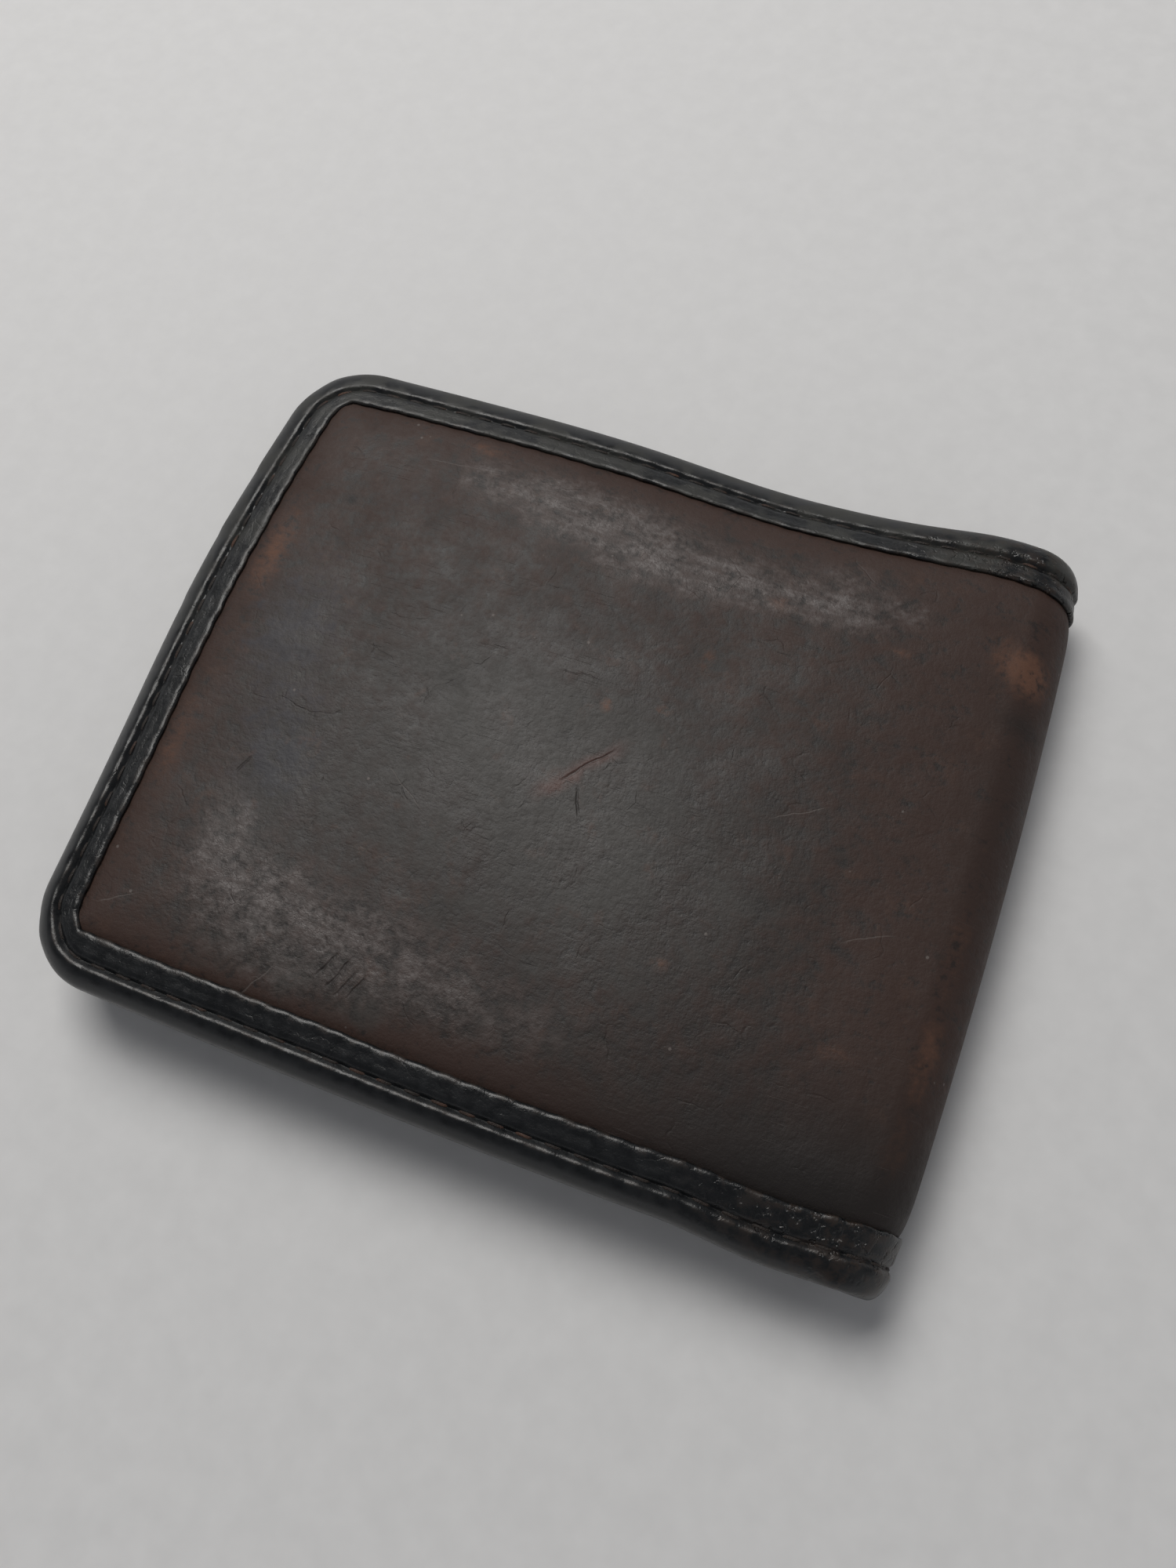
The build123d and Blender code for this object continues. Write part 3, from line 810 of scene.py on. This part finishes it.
def seam_stitches(travel_middles, start, back):
    """Stitches on both faces at places along the seam, as one closed bead each.

    Towards its ends a stitch sinks into the leather, as the fourth power of its place.
    """
    s, turn, size = bead()
    beads = []
    for middle in travel_middles:
        travel = middle + s * stitch_pitch * stitch_share
        inset = valley_inset + size * np.sin(turn)
        sunk = 0.52 + 0.34 * s**4 - 0.85 * size * np.cos(turn)
        along, across = rim(travel, inset, start)
        inside = binding_inside(travel.ravel(), start).reshape(travel.shape)
        for depth in (sunk, inside - sunk):
            at = bend_length - along if back else along
            beads.append(place(at, across, depth))
    return beads


def thread(tree):
    """Faded red-brown thread, its colour uneven from stitch to stitch, with fine fibres."""
    where = add(tree, "TexCoord", {})["Object"]
    where = add(tree, "VectorMath", {0: where, 1: (1 / MM,) * 3}, operation="MULTIPLY")[0]
    age = noise(tree, where, 5.5, 2.0, 3.0)
    fibre = noise(tree, where, 0.16, 2.0, 7.0)
    colour = tint(tree, fibre, (0.010, 0.007, 0.006), (0.026, 0.017, 0.013))
    colour = tint(tree, rising(tree, age, 0.55, 1.0), colour, (0.085, 0.038, 0.022))
    roughness = plus(tree, 0.5, times(tree, fibre, 0.3))
    return colour, roughness, times(tree, fibre, 0.05)


thread_material = finish("thread", thread)
half_middles = (np.arange(half_stitches) + 0.5) * stitch_pitch
front_beads = seam_stitches(half_middles, half_start, False)
back_beads = seam_stitches(half_middles, half_start, True)
fold_middles = (np.arange(2) + 0.5) * stitch_pitch
fold_middles = np.concatenate([fold_middles, fold_length - fold_middles])
fold_beads = seam_stitches(fold_middles, strip_length, False)
front_seam_thread = mesh_of("front_seam_thread", front_beads, wrap=True)
back_seam_thread = mesh_of("back_seam_thread", back_beads, wrap=True)
fold_seam_thread = mesh_of("fold_seam_thread", fold_beads, wrap=True)
cross_fold(front_seam_thread, thread_material, ["edge_stitches_front"])
cross_fold(back_seam_thread, thread_material, ["edge_stitches_back"])
nodes = ["edge_stitches_fold_1", "edge_stitches_fold_2"]
cross_fold(fold_seam_thread, thread_material, nodes)

# ---- Lining ----
# Thin dark cloth of a plain weave, laid on the back of the cover and caught in the seam. It is
# the outer wall of the note pocket.

lining_inset = 1.6
lining_side = edge_y - lining_inset
lining_columns = run([-lining_side, lining_side], [1.2], True, True, 0.15)
lining_rows = half_rows([flat_end - lining_inset], [1.2])


def lining_outer(along, across, back):
    """The lining's outer face, on the cover's inner one."""
    return np.full_like(along, cover_depth)


def lining_inner(along, across, back):
    """The lining's inner face, one thickness further in."""
    return np.full_like(along, cover_depth + lining_thickness)


def plain_weave(tree):
    """Threads 0.35 mm apart over and under each other: the product of two sine ridges."""
    plan = add(tree, "Attribute", {}, attribute_name="plan")["Vector"]
    along, across, _ = mark_on(tree, "plan")
    thread_turn = 2 * np.pi / 0.7
    ridge = [reckon(tree, "SINE", times(tree, side, thread_turn)) for side in (along, across)]
    weave = plus(tree, 0.5, times(tree, times(tree, *ridge), 0.5))
    slub = noise(tree, plan, 1.5, 3.0, 6.0)
    colour = tint(tree, weave, (0.012, 0.010, 0.009), (0.042, 0.035, 0.030))
    colour = tint(tree, rising(tree, slub, 0.5, 0.9), colour, (0.060, 0.050, 0.042))
    roughness = plus(tree, 0.72, times(tree, slub, 0.15))
    return colour, roughness, times(tree, weave, 0.07)


lining_material = finish("lining_cloth", plain_weave)
hidden_fold_rows = run([strip_length, 2 * strip_length], [strip_length / 20], False, False)
lining_grid = (lining_rows, hidden_fold_rows, lining_columns, lining_inset, lining_outer, lining_inner)
linings = wrap_round("lining", "lining", "lining_cloth", lining_material, *lining_grid)

# ---- Inner wall ----
# Brown leather between the note pocket and the card pockets. Its top edge is free, creased a
# little below it by a hot iron and burnished, and the other three edges are in the seam.

wall_outer_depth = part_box("inner_wall_back")[0].z / MM
wall_thickness = 0.8
wall_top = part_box("inner_wall_back")[1].y / MM
crease_drop = 1.6
wall_columns = run([-lining_side, wall_top - 2.6, wall_top], [1.2, 0.2], True, True, 0.25)


def creased(top, outer_depth, thickness):
    """A layer's two faces, each cut by a bell-shaped crease along the top edge, and its wear.

    The wear is burnished dark at the edge and in the crease, and rubbed light below them.
    """

    def line(across):
        return 0.14 * np.exp(-(((across - top + crease_drop) / 0.26) ** 2))

    def outer(along, across, back):
        return outer_depth + line(across) * 0.6

    def under(along, across, back):
        return outer_depth + thickness - line(across)

    def edge_wear(along, across, back):
        below = np.abs(top - across)
        burnished = np.exp(-((below / 0.5) ** 4))
        burnished += 0.8 * np.exp(-(((below - crease_drop) / 0.3) ** 2))
        rubbed = 0.5 * np.exp(-(((below - 3.2) / 2.4) ** 2))
        return {"wear": np.stack([burnished, rubbed, 0 * across], -1)}

    return outer, under, edge_wear


def pocket_leather(tree):
    """Smooth brown leather in soft clouds, with a fine grain and rubbed light spots.

    It is burnished dark along a mouth and rubbed light below it.
    """
    plan = add(tree, "Attribute", {}, attribute_name="plan")["Vector"]
    cloud = noise(tree, plan, 9, 4.0, 5.0)
    mottle = noise(tree, plan, 1.8, 4.0, 2.0, 0.6)
    pebble = all_but(tree, rising(tree, cells(tree, plan, 0.55, 0.3, 3.0), 0.0, 0.16))
    colour = tint(tree, cloud, (0.030, 0.017, 0.012), (0.060, 0.033, 0.022))
    colour = tint(tree, times(tree, rising(tree, mottle, 0.5, 1.0), 0.5), colour, (0.084, 0.050, 0.035))
    colour = tint(tree, times(tree, pebble, 0.25), colour, (0.014, 0.009, 0.007))
    burnished, rubbed, _ = mark_on(tree, "wear")
    colour = tint(tree, times(tree, rubbed, plus(tree, 0.3, mottle)), colour, (0.105, 0.060, 0.040))
    colour = tint(tree, times(tree, burnished, 0.8), colour, (0.010, 0.007, 0.006))
    roughness = plus(tree, 0.38, times(tree, mottle, 0.2))
    height = times(tree, mottle, 0.05)
    return colour, roughness, minus(tree, height, times(tree, pebble, 0.03))


pocket_material = finish("pocket_leather", pocket_leather)
wall_outer, wall_under, wall_wear = creased(wall_top, wall_outer_depth, wall_thickness)
wall_grid = (lining_rows, hidden_fold_rows, wall_columns, lining_inset, wall_outer, wall_under)
wrap_round("wall", "inner_wall", "pocket_leather", pocket_material, *wall_grid, worn=wall_wear)

# ---- Card pockets ----
# Three leather leaves a half, one over another, each with its mouth lower than the one behind.
# Their sides are in the seam at the open edge and in the pocket thread beside the fold.

pocket_thickness = 0.65
pocket_start = bend_length + bend_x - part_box("card_pocket_high_back")[1].x / MM
pocket_rows = run([pocket_start, flat_end - lining_inset], [1.2], True, True, 0.2)
pocket_depths = {}
for height in ("high", "middle", "low"):
    low_corner, high_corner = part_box(f"card_pocket_{height}_back")
    mouth = high_corner.y / MM
    foot = max(low_corner.y / MM, -lining_side)
    pocket_depths[height] = (mouth, low_corner.z / MM)
    columns = run([foot, mouth - 2.6, mouth], [1.2, 0.2], True, True, 0.2)
    for half in ("back", "front"):
        outer, under, edge_wear = creased(mouth, low_corner.z / MM, pocket_thickness)
        grid = (pocket_rows, columns, lining_inset, outer, under)
        pocket = leaf(f"{half}_{height}_pocket", *grid, back=half == "back", worn=edge_wear)
        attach(pocket, f"{half}_half")
        dress(pocket, pocket_material, [f"card_pocket_{height}_{half}"])

# ---- Pocket thread ----
# A row of the same stitches beside the fold. It holds the pockets' other side to the inner
# wall, from the bottom seam to just above the first mouth.

seam_low, seam_high = (corner_point.y / MM for corner_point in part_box("pocket_stitches_back"))
seam_x = sum(corner_point.x / MM for corner_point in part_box("pocket_stitches_back")) / 2
pocket_seam_pitch = 3.45
pocket_stitch_count = int(round((seam_high - seam_low) / pocket_seam_pitch))


def pocket_stitches(back):
    """Beads like the seam's, across the pockets, on the leaf that is the innermost there."""
    s, turn, size = bead()
    beads = []
    for number in range(pocket_stitch_count):
        middle = seam_high - (number + 0.5) * (seam_high - seam_low) / pocket_stitch_count
        across = middle + s * pocket_seam_pitch * stitch_share
        faces = [depth + pocket_thickness for mouth, depth in pocket_depths.values() if middle < mouth]
        face = max(faces, default=wall_outer_depth + wall_thickness)
        depth = face - 0.05 - 0.35 * s**4 + 0.6 * size * np.cos(turn)
        along = bend_length + bend_x - seam_x + size * np.sin(turn)
        beads.append(place(bend_length - along if back else along, across, depth))
    return beads


for half in ("back", "front"):
    stitches = mesh_of(f"{half}_pocket_thread", pocket_stitches(half == "back"), wrap=True)
    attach(stitches, f"{half}_half")
    dress(stitches, thread_material, [f"pocket_stitches_{half}"])

# ---- Floor, light and camera ----
# A pale floor under the wallet, one large soft light high at the far left, a weak one opposite,
# and a room whose walls are pale low down and dim overhead. The camera looks steeply down from
# the near right, rolled a little.

floor_side = 2.0
floor_mesh = bpy.data.meshes.new("floor")
floor_drop = -0.0002
floor_sides = ((-1, -1), (1, -1), (1, 1), (-1, 1))
floor_corners = [(x * floor_side, y * floor_side, floor_drop) for x, y in floor_sides]
floor_mesh.from_pydata(floor_corners, [], [(0, 1, 2, 3)])
floor = bpy.data.objects.new("floor", floor_mesh)
bpy.context.scene.collection.objects.link(floor)


def floor_paint(tree):
    """Pale matt paint, a little uneven."""
    where = add(tree, "TexCoord", {})["Object"]
    speckle = noise(tree, where, 0.004, 2.0)
    colour = tint(tree, speckle, (0.80, 0.80, 0.80), (0.84, 0.84, 0.84))
    return colour, plus(tree, 0.7, times(tree, speckle, 0.2)), times(tree, speckle, 0.01)


floor.data.materials.append(finish("floor_paint", floor_paint))


def soft_light(name, azimuth, elevation, distance, side, watts, tone):
    """A square light that faces the wallet from a direction."""
    light = bpy.data.lights.new(name, "AREA")
    light.size, light.energy, light.color = side, watts, tone
    lamp = bpy.data.objects.new(name, light)
    a, e = np.radians([azimuth, elevation])
    away = np.array([np.sin(a) * np.cos(e), -np.cos(a) * np.cos(e), np.sin(e)])
    lamp.location = away * distance
    lamp.rotation_euler = lamp.location.to_track_quat("Z", "Y").to_euler()
    bpy.context.scene.collection.objects.link(lamp)


soft_light("window", 219, 57, 0.9, 0.5, 5.0, (1.0, 0.98, 0.95))
soft_light("room", 60, 40, 1.2, 0.9, 0.4, (1.0, 0.97, 0.94))
world = bpy.data.worlds.new("room")
world.use_nodes = True
sky = world.node_tree
sky_height = add(sky, "SeparateXYZ", {0: add(sky, "TexCoord", {})["Generated"]})[2]
wall_glow = tint(sky, rising(sky, sky_height, 0.05, 0.5), (0.60, 0.60, 0.61), (0.105, 0.108, 0.116))
sky.links.new(wall_glow, sky.nodes["Background"].inputs["Color"])
bpy.context.scene.world = world
bpy.context.scene.view_settings.view_transform = "Standard"

camera_azimuth, camera_elevation, camera_roll = np.radians([29.72, 69.16, -9.84])
camera_distance = 163.6
camera_target = np.array([3.01, -1.37, 6.6])
focal_length = 1625 / 2000
sensor_side = 24.0
ca, ce = camera_azimuth, camera_elevation
away = np.array([np.sin(ca) * np.cos(ce), -np.cos(ca) * np.cos(ce), np.sin(ce)])
level = np.array([np.cos(ca), np.sin(ca), 0])
upright = np.cross(away, level)
rightward = level * np.cos(camera_roll) + upright * np.sin(camera_roll)
upward = upright * np.cos(camera_roll) - level * np.sin(camera_roll)
lens = bpy.data.cameras.new("camera")
lens.sensor_width, lens.lens = sensor_side, focal_length * sensor_side
lens.clip_start = 0.01
camera = bpy.data.objects.new("camera", lens)
turned = np.stack([rightward, upward, away], -1)
camera_matrix = np.eye(4)
camera_matrix[:3, :3] = turned
camera_matrix[:3, 3] = (camera_target + away * camera_distance) * MM
camera.matrix_world = camera_matrix.T.tolist()
bpy.context.scene.collection.objects.link(camera)
bpy.context.scene.camera = camera
